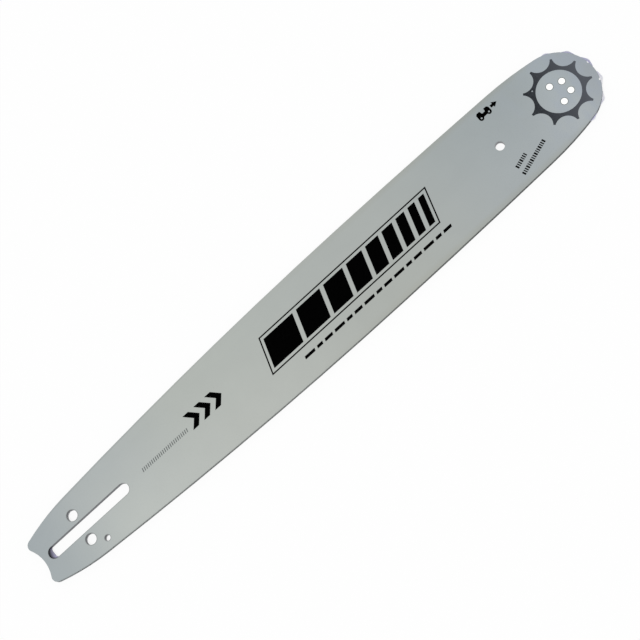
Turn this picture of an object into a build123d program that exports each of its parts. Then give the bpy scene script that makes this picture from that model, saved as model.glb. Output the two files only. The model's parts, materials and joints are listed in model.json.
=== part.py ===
from build123d import *
import os
from math import asin, atan, cos, degrees, floor, pi, sin, sqrt

# Chainsaw guide bar, laminated, with a roller-bearing sprocket nose. Millimetres.
# X runs along the bar from tail to nose, Y across it, Z through its thickness.
# The origin is on the centreline, midway between the adjuster holes, at the back face.

# Sheet thicknesses
plate_thickness = 1.40
core_thickness = 1.35

# Outline of the side plates, upper half, mirrored for the lower half
nose_bearing_x = 446.5
nose_setback = 1.3           # how far the nose curve's centre lies behind the bearing's axis
nose_radius = 30.2
belly_x = 268.0
belly_rise = 5.25            # how far the widest place stands out beyond the nose radius
shoulder_x = 409.0
shoulder_drop = 1.55         # fall from the widest place to the start of the shoulder curve
tail_turn_x = 3.0
tail_turn_half_width = 25.3
horn_x = -37.5
horn_half_width = 17.2
tail_overrun = 8.0           # rail length that is drawn past the horns and cut off by the notch
notch_bottom_x = -34.6
notch_radius = 25.7
horn_corner_radius = 4.4
rail_edge_chamfer = 0.30

# Chain groove between the side plates, and the core's own ends
groove_depth = 6.2
core_tail_setback = 0.4
sprocket_pocket_clearance = 1.0

# Stud slot
slot_width = 9.0
slot_rear_x = -29.8
slot_front_x = 43.0
core_slot_ledge = 3.6
core_slot_corner_radius = 2.8

# Round holes through all three sheets
adjuster_hole_diameter = 8.0
adjuster_hole_offset = 10.9
oil_hole_diameter = 4.2
oil_hole_x = 9.4
oil_hole_offset = 18.2
oil_channel_width = 3.0
hanging_hole_diameter = 6.8
hanging_hole_x = 390.6

# Nose rivets: places on one circle, the rearmost place left free
rivet_diameter = 4.7
rivet_circle_radius = 7.85
rivet_places = 5

# Nose sprocket and its roller bearing
tooth_count = 12
sprocket_thickness = 1.27
tooth_proud = 2.2            # how far a tooth tip stands out beyond the end of the side plates
tooth_gap_depth = 5.8
tooth_root_radius = 2.2
tooth_tip_width = 3.8
tooth_tip_bevel_length = 1.5
tooth_tip_bevel_depth = 0.36
sprocket_phase_deg = 6.7
race_wall = 2.05             # metal between the rivets and the inner raceway
roller_diameter = 3.4
roller_length = 0.94
roller_radial_clearance = 0.02
roller_pitch = 6.7           # wanted spacing of the rollers along their circle
cage_side_clearance = 0.04
cage_rim_thickness = 0.28
cage_edge_clearance = 0.25
cage_pocket_clearance = 0.06
roller_end_clearance = 0.03

# Worked out from the sizes above
core_bottom_z = plate_thickness
core_top_z = plate_thickness + core_thickness
bar_thickness = 2 * plate_thickness + core_thickness
middle_z = bar_thickness / 2
tip_radius = nose_radius - nose_setback + tooth_proud
race_radius = rivet_circle_radius + rivet_diameter / 2 + race_wall
roller_circle_radius = race_radius + roller_radial_clearance + roller_diameter / 2
sprocket_bore_radius = roller_circle_radius + roller_diameter / 2 + roller_radial_clearance
roller_count = floor(2 * pi * roller_circle_radius / roller_pitch)
cage_bottom_z = core_bottom_z + cage_side_clearance
cage_height = core_thickness - 2 * cage_side_clearance
roller_bottom_z = cage_bottom_z + cage_rim_thickness + roller_end_clearance

# Points where the arcs of the upper rail meet
bearing_centre = Vector(nose_bearing_x, 0)
nose_centre = Vector(nose_bearing_x - nose_setback, 0)
belly = Vector(belly_x, nose_radius + belly_rise)
shoulder = Vector(shoulder_x, belly.Y - shoulder_drop)
tail_turn = Vector(tail_turn_x, tail_turn_half_width)
horn = Vector(horn_x, horn_half_width)


def level_arc_centre(top, point):
    """Centre of the arc that is level at its top and passes through a lower point."""
    across = point - top
    radius = across.dot(across) / (2 * abs(across.Y))
    return Vector(top.X, top.Y - radius)


def following_arc_centre(start, inward, end):
    """Centre of the arc that leaves start square to inward and passes through end."""
    across = end - start
    return start + inward * (across.dot(across) / (2 * inward.dot(across)))


def nose_blend_centre(start, inward):
    """Centre of the arc that leaves start square to inward and runs into the nose circle."""
    offset = start - nose_centre
    radius = (nose_radius**2 - offset.dot(offset)) / (2 * (inward.dot(offset) + nose_radius))
    return start + inward * radius


front_centre = level_arc_centre(belly, shoulder)
rear_centre = level_arc_centre(belly, tail_turn)
shoulder_centre = nose_blend_centre(shoulder, (front_centre - shoulder).normalized())
tail_centre = following_arc_centre(tail_turn, (rear_centre - tail_turn).normalized(), horn)
nose_blend = nose_centre + (nose_centre - shoulder_centre).normalized() * nose_radius
nose_tip = nose_centre + Vector(nose_radius, 0)


def end_of_tail_arc():
    """The tail arc carried on past the horn, where the blank is cut off square."""
    radius = (horn - tail_centre).length
    x = horn_x - tail_overrun
    return Vector(x, tail_centre.Y + sqrt(radius**2 - (x - tail_centre.X) ** 2))


def inset_arc(start, end, centre, inset):
    """Arc from start to end about centre, moved towards the centre by the inset."""
    first = start + (centre - start).normalized() * inset
    last = end + (centre - end).normalized() * inset
    bulge = (first + last) / 2 - centre
    middle = centre + bulge.normalized() * (first - centre).length
    return ThreePointArc(first, middle, last).edge()


def blank(inset):
    """Face inside the rails, all of it moved inwards by the inset, with a square tail."""
    tail_end = end_of_tail_arc()
    upper = [
        inset_arc(nose_tip, nose_blend, nose_centre, inset),
        inset_arc(nose_blend, shoulder, shoulder_centre, inset),
        inset_arc(shoulder, belly, front_centre, inset),
        inset_arc(belly, tail_turn, rear_centre, inset),
        inset_arc(tail_turn, tail_end, tail_centre, inset),
    ]
    lower = [edge.mirror(Plane.XZ) for edge in upper]
    tail_corner = upper[-1] @ 1
    closing = Line(tail_corner, Vector(tail_corner.X, -tail_corner.Y)).edge()
    return make_face(upper + lower + [closing])


def notched(face, setback):
    """Cut the concave tail end into a blank."""
    cutter = Pos(notch_bottom_x - notch_radius, 0) * Circle(notch_radius + setback)
    cut = face - cutter
    return cut.faces().sort_by(Axis.X)[-1]


def round_holes():
    """The adjuster, oil and hanging holes that every sheet has."""
    adjuster = Circle(adjuster_hole_diameter / 2)
    return [
        Pos(0, adjuster_hole_offset) * adjuster,
        Pos(0, -adjuster_hole_offset) * adjuster,
        Pos(oil_hole_x, -oil_hole_offset) * Circle(oil_hole_diameter / 2),
        Pos(hanging_hole_x, 0) * Circle(hanging_hole_diameter / 2),
    ]


def rivet_centres():
    """Evenly spaced places round the bearing's axis, without the one that points to the tail."""
    step = 360 / rivet_places
    angles = [180 + step * place for place in range(1, rivet_places)]
    return [bearing_centre + Vector(rivet_circle_radius, 0).rotate(Axis.Z, angle) for angle in angles]


def stud_slot():
    """Slot with full round ends, as in the side plates."""
    length = slot_front_x - slot_rear_x
    return Pos((slot_front_x + slot_rear_x) / 2, 0) * SlotOverall(length, slot_width)


def core_slot():
    """The core's slot: the same front end, and a nearly square rear end set forward."""
    rear_x = slot_rear_x + core_slot_ledge
    straight_end = slot_front_x - slot_width / 2
    rear = Pos((rear_x + straight_end) / 2, 0) * RectangleRounded(
        straight_end - rear_x, slot_width, core_slot_corner_radius
    )
    front_length = 2 * (straight_end - rear_x) / 3
    front = Pos(slot_front_x - front_length / 2, 0) * SlotOverall(front_length, slot_width)
    return rear + front


def nose_rivets():
    """Straight rivets that fill their holes, with both ends flush with the side plates."""
    rivet = Cylinder(rivet_diameter / 2, bar_thickness)
    return [Pos(centre.X, centre.Y, middle_z) * rivet for centre in rivet_centres()]


def side_plate(bottom_z, outer_face_up):
    """One side plate, with the outer edge of its rails broken by a small chamfer."""
    sheet = notched(blank(0), 0)
    horns = sheet.vertices().sort_by(Axis.X)[:2]
    sheet = fillet(horns, horn_corner_radius)
    plate = Pos(0, 0, bottom_z) * extrude(sheet, plate_thickness)
    outer_face = plate.faces().sort_by(Axis.Z)[-1 if outer_face_up else 0]
    plate = chamfer(outer_face.outer_wire().edges(), rail_edge_chamfer)
    openings = [stud_slot()] + round_holes()
    for opening in openings:
        plate -= Pos(0, 0, bottom_z) * extrude(opening, plate_thickness)
    for rivet in nose_rivets():
        plate -= rivet
    return plate


def core_plate():
    """The middle sheet: set in from the rails, so that the gap round it is the chain groove."""
    sheet = blank(groove_depth)
    sheet -= Pos(*bearing_centre) * Circle(tip_radius + sprocket_pocket_clearance)
    sheet = notched(sheet, core_tail_setback)
    sheet -= core_slot()
    for hole in round_holes():
        sheet -= hole
    channel_length = belly.Y - oil_hole_offset
    channel_centre_y = -oil_hole_offset - channel_length / 2
    sheet -= Pos(oil_hole_x, channel_centre_y) * Rectangle(oil_channel_width, channel_length)
    return Pos(0, 0, core_bottom_z) * extrude(sheet, core_thickness)


def tooth_gap():
    """Gap between two teeth: a round root, and straight flanks up to the edges of the tips."""
    half_angle = pi / tooth_count - asin(tooth_tip_width / 2 / tip_radius)
    flank_end_x = tip_radius * cos(half_angle)
    mouth_width = 2 * tip_radius * sin(half_angle)
    root = Pos(tip_radius - tooth_gap_depth + tooth_root_radius, 0) * Circle(tooth_root_radius)
    mouth = Pos(flank_end_x + mouth_width / 2, 0) * Rectangle(mouth_width, mouth_width)
    return make_hull(root.edges() + mouth.edges())


def tip_bevel():
    """Many-sided blank that leans in towards both faces, to thin each tooth's tip."""
    lean = degrees(atan(tooth_tip_bevel_length / tooth_tip_bevel_depth))
    reach = tip_radius - tooth_tip_bevel_length
    reach += tooth_tip_bevel_length / tooth_tip_bevel_depth * sprocket_thickness / 2
    middle = RegularPolygon(reach, tooth_count, major_radius=False, rotation=180 / tooth_count)
    upper = extrude(middle, sprocket_thickness / 2, taper=lean)
    return upper + mirror(upper, about=Plane.XY)


def nose_sprocket():
    """Toothed ring that carries the chain round the nose, running on the rollers."""
    ring = Circle(tip_radius) - Circle(sprocket_bore_radius)
    for tooth in range(tooth_count):
        turn = 360 / tooth_count * (tooth + 0.5)
        ring -= Rot(0, 0, turn) * tooth_gap()
    solid = extrude(ring, sprocket_thickness / 2, both=True) & tip_bevel()
    return Pos(nose_bearing_x, 0, middle_z) * Rot(0, 0, sprocket_phase_deg) * solid


def inner_race():
    """Disc clamped between the side plates by the rivets: its rim is the inner raceway."""
    disc = Pos(nose_bearing_x, 0, middle_z) * Cylinder(race_radius, core_thickness)
    for rivet in nose_rivets():
        disc -= rivet
    return disc


def roller_angle(place):
    return 360 / roller_count * place


def roller_cage():
    """Comb cage: a thin rim under the rollers, with a post standing up between each two."""
    outer = Circle(sprocket_bore_radius - cage_edge_clearance)
    ring = outer - Circle(race_radius + cage_edge_clearance)
    cage = extrude(ring, cage_height)
    pocket_width = roller_diameter + 2 * cage_pocket_clearance
    pocket = Pos(roller_circle_radius, 0, cage_rim_thickness) * Rectangle(roller_diameter, pocket_width)
    for place in range(roller_count):
        cage -= Rot(0, 0, roller_angle(place)) * extrude(pocket, cage_height)
    return Pos(nose_bearing_x, 0, cage_bottom_z) * cage


def roller(place):
    """One bearing roller, standing on the cage's rim between the race and the sprocket's bore."""
    foot = Align.CENTER, Align.CENTER, Align.MIN
    shape = Pos(roller_circle_radius, 0) * Cylinder(roller_diameter / 2, roller_length, align=foot)
    return Pos(nose_bearing_x, 0, roller_bottom_z) * Rot(0, 0, roller_angle(place)) * shape


pieces = {
    "back_side_plate": side_plate(0, outer_face_up=False),
    "core_plate": core_plate(),
    "front_side_plate": side_plate(core_top_z, outer_face_up=True),
    "nose_sprocket": nose_sprocket(),
    "inner_race": inner_race(),
    "nose_rivets": Compound(children=nose_rivets()),
    "roller_cage": roller_cage(),
}
for place in range(roller_count):
    pieces[f"bearing_roller_{place + 1:02d}"] = roller(place)

os.makedirs("parts", exist_ok=True)
for name, piece in pieces.items():
    export_step(piece, f"parts/{name}.step")
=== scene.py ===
import bpy
import bmesh
import json
from math import asin, cos, pi, radians, sin
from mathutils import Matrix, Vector


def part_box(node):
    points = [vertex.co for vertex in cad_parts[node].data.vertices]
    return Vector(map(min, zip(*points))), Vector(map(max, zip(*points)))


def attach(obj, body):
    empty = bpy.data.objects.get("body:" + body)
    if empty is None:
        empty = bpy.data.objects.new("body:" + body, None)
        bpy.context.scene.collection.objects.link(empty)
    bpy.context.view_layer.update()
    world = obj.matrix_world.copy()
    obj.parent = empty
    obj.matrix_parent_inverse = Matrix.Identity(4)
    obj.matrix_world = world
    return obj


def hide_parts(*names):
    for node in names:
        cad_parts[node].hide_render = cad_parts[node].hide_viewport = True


# Looks of a laminated chainsaw guide bar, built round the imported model.
# Metres, the model's own frame: X from tail to nose, Y across the bar, Z out of the front face.

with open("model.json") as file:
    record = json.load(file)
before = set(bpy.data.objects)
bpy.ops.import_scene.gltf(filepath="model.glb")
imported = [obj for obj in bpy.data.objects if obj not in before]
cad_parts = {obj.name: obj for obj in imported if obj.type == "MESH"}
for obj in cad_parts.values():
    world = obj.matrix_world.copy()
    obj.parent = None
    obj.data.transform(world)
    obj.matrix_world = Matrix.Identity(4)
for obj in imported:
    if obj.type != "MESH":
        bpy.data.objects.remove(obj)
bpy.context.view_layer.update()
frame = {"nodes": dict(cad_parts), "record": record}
mm = 0.001
noseCentre = (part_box("inner_race")[0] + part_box("inner_race")[1]) / 2
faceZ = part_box("front_side_plate")[1].z
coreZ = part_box("core_plate")[0].z
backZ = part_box("back_side_plate")[0].z
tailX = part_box("front_side_plate")[0].x
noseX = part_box("front_side_plate")[1].x
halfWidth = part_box("front_side_plate")[1].y


# Colour and node helpers

noiseSpread = (0.3, 0.7)    # most of a noise texture lies between these values


def tone(red, green, blue):
    # an 8-bit screen colour as the linear colour a shader socket takes
    shares = [channel / 255 for channel in (red, green, blue)]
    linear = [((share + 0.055) / 1.055) ** 2.4 if share > 0.04 else share / 12.92 for share in shares]
    return (*linear, 1)


def addNode(tree, kind, settings=None, **inputs):
    # in0, in1 and so on are sockets by number, and the other inputs are sockets by name
    node = tree.nodes.new(kind)
    for key, value in (settings or {}).items():
        setattr(node, key, value)
    for key, value in inputs.items():
        numbered = key.startswith("in") and key[2:].isdigit()
        socket = node.inputs[int(key[2:])] if numbered else node.inputs[key]
        if isinstance(value, bpy.types.NodeSocket):
            tree.links.new(value, socket)
        else:
            socket.default_value = value
    return node


def mathNode(tree, operation, first, second):
    return addNode(tree, "ShaderNodeMath", {"operation": operation}, in0=first, in1=second).outputs[0]


def mixColours(tree, factor, first, second):
    node = addNode(tree, "ShaderNodeMix", {"data_type": "RGBA"}, in0=factor, in6=first, in7=second)
    return node.outputs[2]


def rampNode(tree, factor, stops):
    node = addNode(tree, "ShaderNodeValToRGB", Fac=factor)
    ramp = node.color_ramp
    ramp.interpolation = "EASE"
    while len(ramp.elements) > 1:
        ramp.elements.remove(ramp.elements[-1])
    ramp.elements[0].position, ramp.elements[0].color = stops[0]
    for position, colour in stops[1:]:
        ramp.elements.new(position).color = colour
    return node.outputs[0]


def mapRange(tree, value, fromMin, fromMax, toMin=0.0, toMax=1.0, smooth=False):
    kind = "SMOOTHSTEP" if smooth else "LINEAR"
    node = addNode(tree, "ShaderNodeMapRange", {"interpolation_type": kind, "clamp": True},
                   in0=value, in1=fromMin, in2=fromMax, in3=toMin, in4=toMax)
    return node.outputs[0]


def noiseNode(tree, place, scale, detail, stretch=(1, 1, 1)):
    placed = addNode(tree, "ShaderNodeMapping", Vector=place, Scale=stretch).outputs[0]
    return addNode(tree, "ShaderNodeTexNoise", Vector=placed, Scale=scale, Detail=detail).outputs[0]


def splitPlace(tree, place):
    return tuple(addNode(tree, "ShaderNodeSeparateXYZ", Vector=place).outputs)


def flatPlace(tree, x, y=0.0):
    # a place at height 0, to measure distances across the face alone
    return addNode(tree, "ShaderNodeCombineXYZ", X=x, Y=y).outputs[0]


def distanceTo(tree, place, centre):
    return addNode(tree, "ShaderNodeVectorMath", {"operation": "DISTANCE"}, in0=place, in1=centre).outputs[1]


def leaningX(tree, x, y, lean):
    # the distance along the bar, plus lean times the distance across it
    return mathNode(tree, "ADD", x, mathNode(tree, "MULTIPLY", y, lean))


def bySide(tree, y, lower, upper):
    # one value on the lower side and one on the upper, which change over within a millimetre of the middle
    return mapRange(tree, y, -mm, mm, lower, upper)


def newMaterial(name, **sockets):
    material = bpy.data.materials.new(name)
    material.use_nodes = True
    tree = material.node_tree
    shader = tree.nodes["Principled BSDF"]
    for key, value in sockets.items():
        shader.inputs[key.replace("_", " ")].default_value = value
    coordinates = tree.nodes.new("ShaderNodeTexCoord").outputs
    return material, tree, shader, coordinates


def addBump(tree, shader, height, distance, strength):
    bump = addNode(tree, "ShaderNodeBump", Height=height, Distance=distance, Strength=strength)
    tree.links.new(bump.outputs[0], shader.inputs["Normal"])


# Faint straw tint that the hardening of the rails leaves along them, stronger towards the nose,
# and a thin line of painted shade just inside the very edge, which is plainest on the upper side near the
# tail
railTint = {
    "widestX": 268 * mm,
    "rearFall": 0.1445,                    # how fast the rails fall away behind that place, and ahead of it
    "frontFall": 0.078,
    "depth": 5 * mm,
    "straw": tone(148, 146, 124),
    "startX": 180 * mm,
    "fullX": 350 * mm,
    "share": 0.22,
    "lineDepth": (1.0 * mm, 1.6 * mm),
    "line": tone(96, 99, 100),
    "lowerShare": 0.01,
    "upperShare": (0.17, 0.0),
    "upperFade": (60 * mm, 220 * mm),
}


def addRailTint(tree, x, y, base, look):
    # each rail is a shallow arch, level at its widest place; fall is how far it has dropped there
    ahead = mathNode(tree, "SUBTRACT", x, look["widestX"])
    curve = mapRange(tree, ahead, 0, mm, look["rearFall"], look["frontFall"])
    fall = mathNode(tree, "MULTIPLY", mathNode(tree, "MULTIPLY", ahead, ahead), curve)
    rail = mathNode(tree, "SUBTRACT", halfWidth, fall)
    depth = mathNode(tree, "SUBTRACT", rail, mathNode(tree, "ABSOLUTE", y, 0))
    share = mapRange(tree, x, look["startX"], look["fullX"], 0, look["share"])
    share = mathNode(tree, "MULTIPLY", share, mapRange(tree, depth, mm, look["depth"], 1, 0))
    tinted = mixColours(tree, share, base, look["straw"])
    # painted shade: a thin dark line just inside each rail's edge, stronger on the upper side near the tail
    upper = mapRange(tree, x, *look["upperFade"], *look["upperShare"])
    side = bySide(tree, y, look["lowerShare"], upper)
    line = mathNode(tree, "MULTIPLY", side, mapRange(tree, depth, *look["lineDepth"], 1, 0))
    return mixColours(tree, line, tinted, look["line"])


# Holes and slot: a thin dark rim of painted shade round each edge, and bare bores in dark tones as painted
# shade, made paler near the back with painted light from the floor
holeLook = {
    "slotCentres": (-25.3 * mm, 38.5 * mm),
    "slotRadius": 4.5 * mm,
    "slotShare": (0.55, 0.12),             # on the lower and on the upper side
    "rimWidth": (0.15 * mm, 0.6 * mm),
    "rim": tone(104, 107, 107),
    "rimShare": 0.75,
    # painted shade darkens the bores, and painted light from the floor makes their lower part paler
    "wall": tone(74, 77, 78),
    "deepWall": tone(190, 192, 192),
    "deepBlend": 0.2 * mm,
    "lessShadedHole": "hanging_hole",           # this one's rim gets only faint painted shade, and its bore a paler tone
    "lessShadedShare": 0.16,
    "lessShadedWall": tone(176, 178, 178),
}


def holeMasks(tree, flat):
    # how near a point is to the edge of the holes with full painted shade on their rims, and to the edge of
    # the one with less
    masks = {False: 0.0, True: 0.0}
    for mount in frame["record"]["mounts"]:
        if mount["kind"] != "bore":
            continue
        x, y, _ = mount["pos_m"]
        radius = mount["dims"]["r_mm"] * mm
        reach = distanceTo(tree, flat, (x, y, 0))
        near = mapRange(tree, reach, *(radius + width for width in holeLook["rimWidth"]), 1, 0)
        lessShaded = mount["name"] == holeLook["lessShadedHole"]
        masks[lessShaded] = mathNode(tree, "MAXIMUM", masks[lessShaded], near)
    return masks[False], masks[True]


def slotRim(tree, x, y, flat):
    # how near a point is to the slot's edge: the slot is all that lies near the line between two centres
    rearCentre, frontCentre = holeLook["slotCentres"]
    onLine = mathNode(tree, "MINIMUM", mathNode(tree, "MAXIMUM", x, rearCentre), frontCentre)
    reach = distanceTo(tree, flat, flatPlace(tree, onLine))
    near = mapRange(tree, reach, *(holeLook["slotRadius"] + width for width in holeLook["rimWidth"]), 1, 0)
    # painted shade along the slot's edge, stronger on its lower side
    return mathNode(tree, "MULTIPLY", near, bySide(tree, y, *holeLook["slotShare"]))


# Two painted highlights on the nose's rim: small bright spots that stand in for glints on its edge
rimGlints = {
    "angles": (4.3, -26.5),
    "radius": 29.0 * mm,
    "size": (0.62 * mm, 1.1 * mm),
    "bright": tone(253, 253, 253),
}


def glintMask(tree, place):
    mask = 0.0
    for angle in rimGlints["angles"]:
        outward = Vector((cos(radians(angle)), sin(radians(angle)), 0)) * rimGlints["radius"]
        spot = Vector((noseCentre.x + outward.x, noseCentre.y + outward.y, faceZ))
        near = mapRange(tree, distanceTo(tree, place, spot), *rimGlints["size"], 1, 0)
        mask = mathNode(tree, "MAXIMUM", mask, near)
    return mask


# Finish of the side plates: satin paint on the faces, and painted shade on the cut edges, which take dark
# steel tones, darkest towards the nose
paintLook = {
    # tones along the bar, from the tail (0) to the nose (1): cool at both ends, warmest ahead of the slot
    "highSide": [(0.0, tone(155, 163, 166)), (0.13, tone(170, 176, 175)), (0.30, tone(174, 179, 174)),
                 (0.60, tone(168, 173, 170)), (0.90, tone(155, 163, 165)), (0.95, tone(159, 168, 171)),
                 (1.0, tone(153, 160, 165))],
    "lowSide": [(0.0, tone(158, 166, 168)), (0.15, tone(181, 186, 182)), (0.36, tone(178, 182, 177)),
                (0.60, tone(169, 173, 168)), (0.86, tone(162, 169, 171)), (0.94, tone(168, 175, 178)),
                (1.0, tone(157, 164, 170))],
    "sideReach": 0.6 * halfWidth,          # the tones of the two sides mix up to this far from the middle
    "discGain": 1.03,                      # the round patch inside the star is a little lighter
    "discRadius": (14.5 * mm, 17.5 * mm),
    "mottleScale": 60,
    "mottleDetail": 3,
    "mottle": 0.012,
    "grainSize": 0.35 * mm,
    "grainDetail": 2,
    "grain": 0.02,
    "shine": 0.3,
    "roughness": (0.36, 0.46),
    "bump": 0.010 * mm,
    "bumpStrength": 0.5,
}

# Faint lilac clouds on the nose, from the first to the second place along the bar
cloudLook = {
    "scale": 75,
    "detail": 3,
    "stretch": (1.6, 0.7, 1),
    "spread": (0.42, 0.62),
    "along": (0.86, 0.96),
    "tone": tone(156, 165, 177),
    "share": 0.5,
}

# painted shade on the cut edges: dark steel tones, nearly black towards the nose
edgeLook = {
    "tone": tone(108, 110, 111),
    "noseTone": tone(24, 25, 28),
    "fade": (0.42, 0.68),                  # where along the bar the edge turns from the one tone to the other
    "facing": (0.25, 0.85),                # how flat a face lies: all edge below these, all paint above
}


def faceTones(tree, place, x, y, along, look):
    across = mapRange(tree, y, -look["sideReach"], look["sideReach"])
    low, high = rampNode(tree, along, look["lowSide"]), rampNode(tree, along, look["highSide"])
    base = mixColours(tree, across, low, high)
    cloud = noiseNode(tree, place, cloudLook["scale"], cloudLook["detail"], cloudLook["stretch"])
    share = mapRange(tree, along, *cloudLook["along"], 0, cloudLook["share"])
    share = mathNode(tree, "MULTIPLY", mapRange(tree, cloud, *cloudLook["spread"]), share)
    return addRailTint(tree, x, y, mixColours(tree, share, base, cloudLook["tone"]), railTint)


def edgeTones(tree, z, along, shadedHoles, lessShaded, look):
    # painted shade on the walls; near the holes the bores take their own dark tone, with painted floor light
    # on their lower part
    edge = mixColours(tree, mapRange(tree, along, *look["fade"]), look["tone"], look["noseTone"])
    blend = holeLook["deepBlend"]
    deep = mapRange(tree, z, coreZ - blend, coreZ + blend, 1, 0)
    edge = mixColours(tree, shadedHoles, edge, mixColours(tree, deep, holeLook["wall"], holeLook["deepWall"]))
    return mixColours(tree, lessShaded, edge, holeLook["lessShadedWall"])


def gainNode(tree, place, grain, look):
    # small swings of brightness: broad mottle, fine grain and the lighter disc
    mottle = noiseNode(tree, place, look["mottleScale"], look["mottleDetail"])
    gain = mapRange(tree, mottle, *noiseSpread, 1 - look["mottle"], 1 + look["mottle"])
    fine = mapRange(tree, grain, *noiseSpread, 1 - look["grain"], 1 + look["grain"])
    disc = mapRange(tree, distanceTo(tree, place, noseCentre), *look["discRadius"], look["discGain"], 1)
    return mathNode(tree, "MULTIPLY", mathNode(tree, "MULTIPLY", gain, fine), disc)


def makePaint(look):
    material, tree, shader, coordinates = newMaterial("satinGreyPaint", Specular_IOR_Level=look["shine"])
    place = coordinates["Object"]
    x, y, z = splitPlace(tree, place)
    flat = flatPlace(tree, x, y)
    along = mapRange(tree, x, tailX, noseX)
    grain = noiseNode(tree, place, 1 / look["grainSize"], look["grainDetail"])
    shadedHoles, lessShaded = holeMasks(tree, flat)
    base = faceTones(tree, place, x, y, along, look)
    # painted shade: dark rims round the holes and along the slot
    base = mixColours(tree, mathNode(tree, "MULTIPLY", shadedHoles, holeLook["rimShare"]), base, holeLook["rim"])
    base = mixColours(tree, mathNode(tree, "MULTIPLY", lessShaded, holeLook["lessShadedShare"]), base, holeLook["rim"])
    base = mixColours(tree, slotRim(tree, x, y, flat), base, holeLook["rim"])
    gain = gainNode(tree, place, grain, look)
    shaded = addNode(tree, "ShaderNodeVectorMath", {"operation": "SCALE"}, in0=base, Scale=gain).outputs[0]
    facing = mathNode(tree, "ABSOLUTE", splitPlace(tree, coordinates["Normal"])[2], 0)
    # painted shade: the steeper a face stands, the more it takes the dark edge tones
    wall = mapRange(tree, facing, *edgeLook["facing"], 1, 0, smooth=True)
    colour = mixColours(tree, wall, shaded, edgeTones(tree, z, along, shadedHoles, lessShaded, edgeLook))
    # painted highlights: two small bright spots on the nose's rim
    colour = mixColours(tree, glintMask(tree, place), colour, rimGlints["bright"])
    tree.links.new(colour, shader.inputs["Base Color"])
    roughness = mapRange(tree, grain, *noiseSpread, *look["roughness"])
    tree.links.new(roughness, shader.inputs["Roughness"])
    addBump(tree, shader, grain, look["bump"], look["bumpStrength"])
    return material


# Bare steels: core sheet, sprocket, bearing pieces and rivets

steelLooks = {
    "rolledCoreSteel": {"tone": tone(126, 126, 134), "dark": tone(98, 98, 105), "scale": 900,
                        "stretch": (1, 9, 9), "roughness": (0.38, 0.55), "bump": 0.008 * mm},
    "lilacSprocketSteel": {"tone": tone(176, 176, 200), "dark": tone(152, 152, 178), "scale": 1400,
                           "stretch": (1, 1, 4), "roughness": (0.24, 0.40), "bump": 0.006 * mm},
    "groundBearingSteel": {"tone": tone(206, 207, 210), "dark": tone(184, 185, 190), "scale": 2200,
                           "stretch": (1, 1, 8), "roughness": (0.14, 0.24), "bump": 0.003 * mm},
    "brightRivetSteel": {"tone": tone(252, 252, 250), "dark": tone(240, 240, 238), "scale": 1600,
                         "stretch": (1, 5, 1), "roughness": (0.28, 0.40), "bump": 0.004 * mm},
}
steelGrain = {"detail": 3, "bumpStrength": 0.4}

# The core's ledge at the slot's rear end: painted shade in the corner and along the wall, then the steel's
# lilac tint towards the opening
ledgeLook = {
    "oilX": -29.2 * mm,
    "sheenX": -25.2 * mm,
    "plainX": -21.0 * mm,
    "lean": -0.38,
    "endCentre": (-25.3 * mm, 0, 0),
    "wallShade": (4.35 * mm, 3.2 * mm),      # painted shade along the slot's wall, by the distance from the end's centre
    "oil": tone(44, 44, 48),
    "sheen": tone(118, 116, 136),
}

# Painted highlights on the sprocket: its tips are lighter, and so is a band on its lower side
sprocketHighlights = {
    "tipRadius": (30.3 * mm, 30.9 * mm),
    "tipTone": tone(210, 210, 220),
    "bandStart": (-5 * mm, -12 * mm),
    "bandEnd": (-24 * mm, -27 * mm),
    "bandTone": tone(212, 212, 218),
}


def addLedgeShade(tree, place, colour, look):
    x, y, _ = splitPlace(tree, place)
    plain = mapRange(tree, x, look["sheenX"], look["plainX"])
    lessShaded = mapRange(tree, leaningX(tree, x, y, look["lean"]), look["oilX"], look["sheenX"])
    fromEnd = distanceTo(tree, flatPlace(tree, x, y), look["endCentre"])
    awayFromWall = mathNode(tree, "MAXIMUM", plain, mapRange(tree, fromEnd, *look["wallShade"]))
    lessShaded = mathNode(tree, "MULTIPLY", lessShaded, awayFromWall)
    # painted shade: dark in the corner and along the wall, the steel's lilac tint towards the opening
    return mixColours(tree, lessShaded, look["oil"], mixColours(tree, plain, look["sheen"], colour))


def addSprocketHighlights(tree, place, colour, look):
    y = splitPlace(tree, place)[1]
    # painted highlight: a lighter band on the lower side, and lighter tips
    band = mathNode(tree, "MULTIPLY", mapRange(tree, y, *look["bandStart"]),
                    mapRange(tree, y, *look["bandEnd"], 1, 0))
    colour = mixColours(tree, band, colour, look["bandTone"])
    tipGlint = mapRange(tree, distanceTo(tree, place, noseCentre), *look["tipRadius"])
    return mixColours(tree, tipGlint, colour, look["tipTone"])


def makeSteel(name):
    look = steelLooks[name]
    material, tree, shader, coordinates = newMaterial(name, Metallic=1.0)
    place = coordinates["Object"]
    grain = noiseNode(tree, place, look["scale"], steelGrain["detail"], look["stretch"])
    colour = mixColours(tree, mapRange(tree, grain, *noiseSpread), look["dark"], look["tone"])
    if name == "rolledCoreSteel":
        colour = addLedgeShade(tree, place, colour, ledgeLook)
    if name == "lilacSprocketSteel":
        colour = addSprocketHighlights(tree, place, colour, sprocketHighlights)
    tree.links.new(colour, shader.inputs["Base Color"])
    roughness = mapRange(tree, grain, *noiseSpread, *look["roughness"])
    tree.links.new(roughness, shader.inputs["Roughness"])
    addBump(tree, shader, grain, look["bump"], steelGrain["bumpStrength"])
    return material


cageLook = {
    "tone": tone(46, 46, 50),
    "dark": tone(34, 34, 37),
    "roughness": 0.55,
    "grainSize": 0.12 * mm,
    "grainDetail": 2,
    "bump": 0.01 * mm,
    "bumpStrength": 0.5,
}


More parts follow.
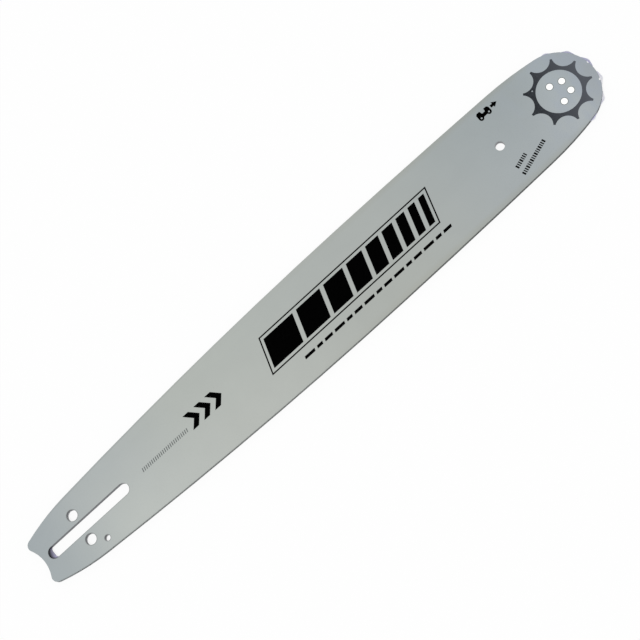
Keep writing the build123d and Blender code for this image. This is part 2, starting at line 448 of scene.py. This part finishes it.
def makeCagePlastic(look):
    material, tree, shader, coordinates = newMaterial("mouldedCagePlastic", Roughness=look["roughness"])
    grain = noiseNode(tree, coordinates["Object"], 1 / look["grainSize"], look["grainDetail"])
    colour = mixColours(tree, mapRange(tree, grain, *noiseSpread), look["dark"], look["tone"])
    tree.links.new(colour, shader.inputs["Base Color"])
    addBump(tree, shader, grain, look["bump"], look["bumpStrength"])
    return material


# Screen-printed inks

inkLooks = {
    "blackInk": {"tone": tone(2, 2, 2), "worn": tone(9, 9, 9), "roughness": (0.42, 0.55), "shine": 0.0},
    "starInk": {"tone": tone(43, 46, 50), "noseTone": tone(86, 89, 96), "worn": tone(76, 80, 86),
                "roughness": (0.40, 0.52), "shine": 0.03, "fadeReach": 19 * mm, "fadeLean": -0.38},
    "fineGreyInk": {"tone": tone(104, 108, 108), "worn": tone(134, 138, 136), "roughness": (0.45, 0.55),
                    "shine": 0.03},
    "rivetRingShade": {"tone": tone(126, 131, 132), "worn": tone(138, 143, 144), "roughness": (0.45, 0.55),
                       "shine": 0.03},
}

# Wear shows where both a patch and a speck are high
inkWear = {
    "patchScale": 700,
    "patchDetail": 3,
    "patch": (0.35, 0.75),
    "speckScale": 4200,
    "speckDetail": 2,
    "speck": (0.4, 0.7),
    "bump": 0.004 * mm,
    "bumpStrength": 0.4,
}


def makeInk(name):
    look = inkLooks[name]
    material, tree, shader, coordinates = newMaterial(name, Specular_IOR_Level=look["shine"])
    place = coordinates["Object"]
    patch = noiseNode(tree, place, inkWear["patchScale"], inkWear["patchDetail"])
    speck = noiseNode(tree, place, inkWear["speckScale"], inkWear["speckDetail"])
    wear = mathNode(tree, "MULTIPLY", mapRange(tree, patch, *inkWear["patch"]),
                    mapRange(tree, speck, *inkWear["speck"]))
    base = look["tone"]
    if "noseTone" in look:                 # the star fades towards the nose
        x, y, _ = splitPlace(tree, place)
        forward = leaningX(tree, x, y, look["fadeLean"])
        fade = mapRange(tree, forward, noseCentre.x - look["fadeReach"], noseCentre.x + look["fadeReach"])
        base = mixColours(tree, fade, look["tone"], look["noseTone"])
    tree.links.new(mixColours(tree, wear, base, look["worn"]), shader.inputs["Base Color"])
    tree.links.new(mapRange(tree, patch, *noiseSpread, *look["roughness"]), shader.inputs["Roughness"])
    addBump(tree, shader, speck, inkWear["bump"], inkWear["bumpStrength"])
    return material


materials = {"satinGreyPaint": makePaint(paintLook), "mouldedCagePlastic": makeCagePlastic(cageLook)}
materials.update({name: makeSteel(name) for name in steelLooks})
materials.update({name: makeInk(name) for name in inkLooks})

nodeFinish = {
    "back_side_plate": "satinGreyPaint",
    "front_side_plate": "satinGreyPaint",
    "core_plate": "rolledCoreSteel",
    "nose_sprocket": "lilacSprocketSteel",
    "inner_race": "groundBearingSteel",
    "nose_rivets": "brightRivetSteel",
    "roller_cage": "mouldedCagePlastic",
}
for nodeName, node in frame["nodes"].items():
    finish = nodeFinish.get(nodeName, "groundBearingSteel")   # the rollers are ground steel
    node.data.materials.clear()
    node.data.materials.append(materials[finish])
print("materials on", len(frame["nodes"]), "model nodes")


# Outline helpers: a loop is a list of points, and turned loops keep their order

def turned(points, angle, originX=0.0, originY=0.0):
    cosine, sine = cos(radians(angle)), sin(radians(angle))
    return [(originX + x * cosine - y * sine, originY + x * sine + y * cosine) for x, y in points]


def placedAt(centre, points):
    return [(centre[0] + x, centre[1] + y) for x, y in points]


def circleLoop(centreX, centreY, radius, steps=48):
    angles = [2 * pi * i / steps for i in range(steps)]
    return [(centreX + radius * cos(angle), centreY + radius * sin(angle)) for angle in angles]


def leaningStroke(left, bottom, width, height, lean):
    # a parallelogram whose top is moved towards the nose by lean times its height
    shift = lean * height
    return [(left, bottom), (left + width, bottom), (left + width + shift, bottom + height),
            (left + shift, bottom + height)]


# Nose sprocket: the solid's ring and tips, with the sloping shoulders that the worn teeth have

sprocketLook = {
    "teeth": 12,
    "phase": 6.7,                          # bar angle of the first tooth, in degrees
    "tipRadius": 31.1 * mm,
    # half of a tooth, from its tip to its shoulder: sideways from its middle line, and down from the tip
    "flank": ((0.8 * mm, 0.0), (2.2 * mm, 0.75 * mm), (5.0 * mm, 1.9 * mm)),
    "rootRadius": 2.5 * mm,
    "rootDepth": 5.8 * mm,
    "rootSteps": 10,
    "boreRadius": 15.69 * mm,
    "thickness": 1.27 * mm,
    "bevelLength": 1.5 * mm,
    "bevelDepth": 0.36 * mm,
    "weld": 0.0001 * mm,                   # points nearer than this are joined
}


def sprocketOutline(look):
    # one tooth and the gap after it, repeated round the axis
    step = 360 / look["teeth"]
    tooth = [(look["tipRadius"] - down, side) for side, down in look["flank"]]
    tooth = [(x, -y) for x, y in reversed(tooth)] + tooth
    rootCentre = look["tipRadius"] - look["rootDepth"] + look["rootRadius"]
    root = []
    for i in range(look["rootSteps"] + 1):
        angle = -pi / 2 + pi * i / look["rootSteps"]
        root.append((rootCentre - look["rootRadius"] * cos(angle), look["rootRadius"] * sin(angle)))
    outline = []
    for place in range(look["teeth"]):
        outline += turned(tooth, look["phase"] + place * step)
        outline += turned(root, look["phase"] + (place + 0.5) * step)
    return [Vector(point) for point in outline]


def makeSprocket(look):
    outline = sprocketOutline(look)
    half = look["thickness"] / 2
    bevelStart = look["tipRadius"] - look["bevelLength"]
    made = bmesh.new()
    rings = []
    for side in (1, -1):
        bore, middle, rim = [], [], []
        for point in outline:
            inner = point.normalized() * look["boreRadius"]
            start = point.normalized() * min(point.length, bevelStart)
            thinned = look["bevelDepth"] * max(0, point.length - bevelStart) / look["bevelLength"]
            bore.append(made.verts.new((inner.x, inner.y, side * half)))
            middle.append(made.verts.new((start.x, start.y, side * half)))
            rim.append(made.verts.new((point.x, point.y, side * (half - thinned))))
        rings.append((bore, middle, rim))
    (upperBore, upperMiddle, upperRim), (lowerBore, lowerMiddle, lowerRim) = rings
    strips = [(upperBore, upperMiddle), (upperMiddle, upperRim), (lowerBore, lowerMiddle),
              (lowerMiddle, lowerRim), (upperRim, lowerRim), (upperBore, lowerBore)]
    for first, second in strips:
        for i in range(len(outline)):
            j = (i + 1) % len(outline)
            made.faces.new((first[i], first[j], second[j], second[i]))
    bmesh.ops.remove_doubles(made, verts=made.verts, dist=look["weld"])
    middleZ = (faceZ + backZ) / 2
    bmesh.ops.translate(made, verts=made.verts, vec=(noseCentre.x, noseCentre.y, middleZ))
    bmesh.ops.recalc_face_normals(made, faces=made.faces)
    mesh = bpy.data.meshes.new("toothed_nose_ring")
    made.to_mesh(mesh)
    made.free()
    mesh.materials.append(materials["lilacSprocketSteel"])
    piece = bpy.data.objects.new("toothed_nose_ring", mesh)
    bpy.context.scene.collection.objects.link(piece)
    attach(piece, "sprocket")
    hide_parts("nose_sprocket")
    print("sprocket done:", len(mesh.polygons), "faces")


makeSprocket(sprocketLook)


# Flat prints: closed layers of ink that lie on the front face. Their outlines are in millimetres

inkLayer = {"sunk": 0.01 * mm, "thickness": 0.035 * mm, "weld": 0.001 * mm}
bearingX, bearingY = noseCentre.x / mm, noseCentre.y / mm


def printLayer(name, loops, finish, thickness=None):
    # loops are closed outlines in millimetres, and a loop inside another one is a hole
    curve = bpy.data.curves.new(name, "CURVE")
    curve.dimensions = "2D"
    curve.fill_mode = "BOTH"
    depth = thickness or inkLayer["thickness"]
    curve.extrude = depth / 2
    for loop in loops:
        spline = curve.splines.new("POLY")
        spline.points.add(len(loop) - 1)
        for point, (x, y) in zip(spline.points, loop):
            point.co = (x * mm, y * mm, 0, 1)
        spline.use_cyclic_u = True
    flat = bpy.data.objects.new(name + "Outline", curve)
    bpy.context.scene.collection.objects.link(flat)
    mesh = bpy.data.meshes.new_from_object(flat.evaluated_get(bpy.context.evaluated_depsgraph_get()))
    bpy.data.objects.remove(flat)
    bpy.data.curves.remove(curve)
    made = bmesh.new()
    made.from_mesh(mesh)
    bmesh.ops.remove_doubles(made, verts=made.verts, dist=inkLayer["weld"])
    bmesh.ops.translate(made, verts=made.verts, vec=(0, 0, faceZ - inkLayer["sunk"] + depth / 2))
    bmesh.ops.recalc_face_normals(made, faces=made.faces)
    made.to_mesh(mesh)
    made.free()
    mesh.name = name
    mesh.materials.clear()
    mesh.materials.append(materials[finish])
    piece = bpy.data.objects.new(name, mesh)
    bpy.context.scene.collection.objects.link(piece)
    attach(piece, "bar")


# Star ring round the nose rivets

starPrint = {
    "innerRadius": 15.95,
    "innerSteps": 72,
    "tipRadius": 24.65,
    "gapBottomRadius": 18.68,
    "tipWidth": 1.5,
    "points": 9,
    "offset": (-0.23, 0.49),               # printed a little off the bearing's axis
    "speck": (433.5, 13.6, 0.5),           # a spot that the ink missed
    "speckSteps": 16,
    "arcSteps": 14,
}


def starLoop(look):
    # round gaps, each an arc from the edge of one tip to the edge of the next
    step = 2 * pi / look["points"]
    half = step / 2 - asin(look["tipWidth"] / 2 / look["tipRadius"])
    cornerX, cornerY = look["tipRadius"] * cos(half), look["tipRadius"] * sin(half)
    reach = cornerX - look["gapBottomRadius"]
    arcRadius = (reach ** 2 + cornerY ** 2) / (2 * reach)
    centre = look["gapBottomRadius"] + arcRadius
    spread = asin(cornerY / arcRadius)
    arc = []
    for i in range(look["arcSteps"] + 1):
        angle = -spread + 2 * spread * i / look["arcSteps"]
        arc.append((centre - arcRadius * cos(angle), arcRadius * sin(angle)))
    loop = []
    for gap in range(look["points"]):
        loop += turned(arc, gap * 360 / look["points"])
    return loop


def starLoops(look):
    centre = (bearingX + look["offset"][0], bearingY + look["offset"][1])
    inner = circleLoop(*centre, look["innerRadius"], look["innerSteps"])
    speck = circleLoop(*look["speck"], look["speckSteps"])
    return [placedAt(centre, starLoop(look)), inner, speck]


printLayer("star_print", starLoops(starPrint), "starInk")
print("star print done")


# Thin dark ring round each rivet, where the head meets the plate

rivetRing = {"circleRadius": 7.85, "radius": 2.35, "width": 0.5, "places": 5, "thickness": 0.02 * mm}


def rivetRingLoops(look):
    # the place that points to the tail has no rivet
    loops = []
    for place in range(1, look["places"]):
        angle = radians(180 + 360 / look["places"] * place)
        x = bearingX + look["circleRadius"] * cos(angle)
        y = bearingY + look["circleRadius"] * sin(angle)
        loops += [circleLoop(x, y, look["radius"] + look["width"]), circleLoop(x, y, look["radius"])]
    return loops


printLayer("rivet_rings", rivetRingLoops(rivetRing), "rivetRingShade", thickness=rivetRing["thickness"])


# Speed bars in the middle of the bar: leaning strokes that shrink towards the nose, inside a thin frame

speedBars = {
    "left": 172.0,
    "bottom": -9.0,
    "height": 21.0,
    "lean": 0.36,
    "firstWidth": 27.0,
    "shrink": 0.815,
    "count": 9,
    "gap": 3.4,
    "frameGap": 2.0,
    "frameLine": 1.0,
}


def speedBarLoops(look):
    loops = []
    left, width = look["left"], look["firstWidth"]
    for _ in range(look["count"]):
        loops.append(leaningStroke(left, look["bottom"], width, look["height"], look["lean"]))
        left += width + look["gap"]
        width *= look["shrink"]
    right = left - look["gap"]
    for margin in (look["frameGap"] + look["frameLine"], look["frameGap"]):
        side = margin * (1 + look["lean"] ** 2) ** 0.5
        start = look["left"] - side - margin * look["lean"]
        width = right - look["left"] + 2 * side
        height = look["height"] + 2 * margin
        loops.append(leaningStroke(start, look["bottom"] - margin, width, height, look["lean"]))
    return loops


printLayer("speed_bars_print", speedBarLoops(speedBars), "blackInk")


# Dashed pinstripe under the speed bars

pinstripe = {
    "left": 192.0,
    "right": 328.0,
    "bottom": -19.6,
    "height": 2.2,
    "lean": 0.36,
    "dashes": (9.0, 5.0, 7.0),             # lengths, in turn
    "gap": 2.2,
}


def dashLoops(look):
    loops = []
    left, index = look["left"], 0
    while left < look["right"]:
        length = look["dashes"][index % len(look["dashes"])]
        length = min(length, look["right"] - left)
        loops.append(leaningStroke(left, look["bottom"], length, look["height"], look["lean"]))
        left += length + look["gap"]
        index += 1
    return loops


printLayer("pinstripe_print", dashLoops(pinstripe), "blackInk")


# Three chevrons that point to the nose, near the tail

chevrons = {
    "left": 102.0,
    "middle": 3.6,
    "height": 12.5,
    "width": 5.2,
    "reach": 5.6,
    "pitch": 10.2,
    "count": 3,
}


def chevronLoops(look):
    half = look["height"] / 2
    loops = []
    for place in range(look["count"]):
        x = look["left"] + place * look["pitch"]
        loops.append([
            (x, look["middle"] - half), (x + look["width"], look["middle"] - half),
            (x + look["width"] + look["reach"], look["middle"]), (x + look["width"], look["middle"] + half),
            (x, look["middle"] + half), (x + look["reach"], look["middle"]),
        ])
    return loops


printLayer("chevron_print", chevronLoops(chevrons), "blackInk")


# Fine grey tick row between the chevrons and the slot

tickRow = {
    "left": 57.0,
    "right": 99.0,
    "bottom": -0.9,
    "height": 2.9,
    "lean": 0.25,
    "dashes": (0.7,),
    "gap": 1.0,
}
printLayer("tick_row_print", dashLoops(tickRow), "fineGreyInk")


# Two short dashed lines beside the nose, which follow the lower rail

railDashes = {
    "angle": 17.5,
    "lines": ((388.6, -21.4, 11.5), (388.8, -28.0, 28.0)),    # start and length of each line
    "height": 3.0,
    "lean": 0.0,
    "dashes": (1.3, 0.8, 0.95),
    "gap": 0.75,
}


def railDashLoops(look):
    loops = []
    for startX, startY, length in look["lines"]:
        row = dict(look, left=0.0, right=length, bottom=0.0)
        loops += [turned(loop, look["angle"], startX, startY) for loop in dashLoops(row)]
    return loops


printLayer("rail_dash_print", railDashLoops(railDashes), "blackInk")


# Chain direction sign: two joined link plates and an arrow

linkSign = {
    "rivets": ((395.4, 23.9), (402.4, 24.0)),
    "footRadius": 2.0,
    "rearFoot": (180, 300),                # first and last angle of each round foot, in degrees
    "frontFoot": (240, 360),
    "footStep": 20,
    "holeRadius": 0.66,
    "holeSteps": 24,
    # corners from the front foot round to the rear one, each measured from its own rivet
    "frontTop": ((2.0, 3.0), (1.0, 4.3), (-1.6, 4.4)),
    "waist": ((-1.9, 2.2), (2.5, 2.3)),
    "rearTop": ((2.0, 4.8), (-0.6, 4.8), (-1.7, 3.8)),
    "sole": ((1.9, -0.5), (-1.9, -0.5)),
    "arrow": ((3.1, 0.8), (5.2, 0.8), (5.2, -0.5), (8.7, 1.9), (5.2, 4.2), (5.2, 2.9), (3.1, 2.9)),
}


def footArc(look, start, end):
    angles = [radians(angle) for angle in range(start, end + 1, look["footStep"])]
    return [(look["footRadius"] * cos(angle), look["footRadius"] * sin(angle)) for angle in angles]


def linkSignLoops(look):
    rear, front = look["rivets"]
    outline = placedAt(rear, footArc(look, *look["rearFoot"])) + placedAt(rear, look["sole"][:1])
    outline += placedAt(front, look["sole"][1:]) + placedAt(front, footArc(look, *look["frontFoot"]))
    outline += placedAt(front, look["frontTop"]) + placedAt(front, look["waist"][:1])
    outline += placedAt(rear, look["waist"][1:]) + placedAt(rear, look["rearTop"])
    holes = [circleLoop(x, y, look["holeRadius"], look["holeSteps"]) for x, y in look["rivets"]]
    return [outline, *holes, placedAt(front, look["arrow"])]


printLayer("chain_sign_print", linkSignLoops(linkSign), "blackInk")
print("prints done")


# Floor, light and camera

white = (1, 1, 1, 1)


def seenRays(tree):
    # 1 for rays that show a surface as itself: to the camera, in a mirror or through glass
    rays = tree.nodes.new("ShaderNodeLightPath").outputs
    seen = mathNode(tree, "MAXIMUM", rays["Is Camera Ray"], rays["Is Glossy Ray"])
    return mathNode(tree, "MAXIMUM", seen, rays["Is Transmission Ray"])


floorLook = {"halfSize": 4.0, "tone": tone(252, 252, 252), "roughness": 0.9, "glow": 0.86}


def makeFloor(look):
    mesh = bpy.data.meshes.new("floor")
    half = look["halfSize"]
    corners = [(-half, -half, backZ), (half, -half, backZ), (half, half, backZ), (-half, half, backZ)]
    mesh.from_pydata(corners, [], [(0, 1, 2, 3)])
    floor = bpy.data.objects.new("floor", mesh)
    bpy.context.scene.collection.objects.link(floor)
    material, tree, shader, _ = newMaterial("paleFloor", Base_Color=look["tone"], Roughness=look["roughness"],
                                            Specular_IOR_Level=0.0)
    glow = addNode(tree, "ShaderNodeEmission", Color=white, Strength=1.0)
    share = mathNode(tree, "MULTIPLY", seenRays(tree), look["glow"])
    mixed = addNode(tree, "ShaderNodeMixShader", in0=share, in1=shader.outputs[0], in2=glow.outputs[0])
    tree.links.new(mixed.outputs[0], tree.nodes["Material Output"].inputs[0])
    mesh.materials.append(material)


worldLook = {"lightStrength": 0.49, "seenStrength": 1.0}


def makeWorld(look):
    world = bpy.data.worlds.new("studioWorld")
    world.use_nodes = True
    tree = world.node_tree
    tree.nodes.clear()
    lit = addNode(tree, "ShaderNodeBackground", Color=white, Strength=look["lightStrength"])
    shown = addNode(tree, "ShaderNodeBackground", Color=white, Strength=look["seenStrength"])
    mixed = addNode(tree, "ShaderNodeMixShader", in0=seenRays(tree), in1=lit.outputs[0], in2=shown.outputs[0])
    output = tree.nodes.new("ShaderNodeOutputWorld")
    tree.links.new(mixed.outputs[0], output.inputs[0])
    bpy.context.scene.world = world


sunLook = {
    "strength": 1.58,
    "softness": 9.0,
    "elevation": 74.0,
    "bearing": 184.0,                      # 180 is from the tail
    "distance": 2.0,
}


def makeSun(look):
    data = bpy.data.lights.new("keyLight", "SUN")
    data.energy = look["strength"]
    data.angle = radians(look["softness"])
    sun = bpy.data.objects.new("keyLight", data)
    bpy.context.scene.collection.objects.link(sun)
    elevation, bearing = radians(look["elevation"]), radians(look["bearing"])
    flat = cos(elevation)
    toLight = Vector((flat * cos(bearing), flat * sin(bearing), sin(elevation)))
    sun.location = toLight * look["distance"]
    sun.rotation_mode = "QUATERNION"
    sun.rotation_quaternion = (-toLight).to_track_quat("-Z", "Y")


cameraLook = {
    "lens": 88.32,
    "sensorWidth": 36.0,
    "location": (0.20353, -0.32652, 1.03755),
    "turn": (13.4067, 11.0002, -41.1631),
    "clip": (0.01, 50),
}


def makeCamera(look):
    data = bpy.data.cameras.new("camera")
    data.lens = look["lens"]
    data.sensor_width = look["sensorWidth"]
    data.clip_start, data.clip_end = look["clip"]
    camera = bpy.data.objects.new("camera", data)
    camera.location = look["location"]
    camera.rotation_euler = [radians(angle) for angle in look["turn"]]
    bpy.context.scene.collection.objects.link(camera)
    bpy.context.scene.camera = camera


makeFloor(floorLook)
makeWorld(worldLook)
makeSun(sunLook)
makeCamera(cameraLook)
bpy.context.scene.view_settings.view_transform = "Standard"
print("floor, light and camera done")
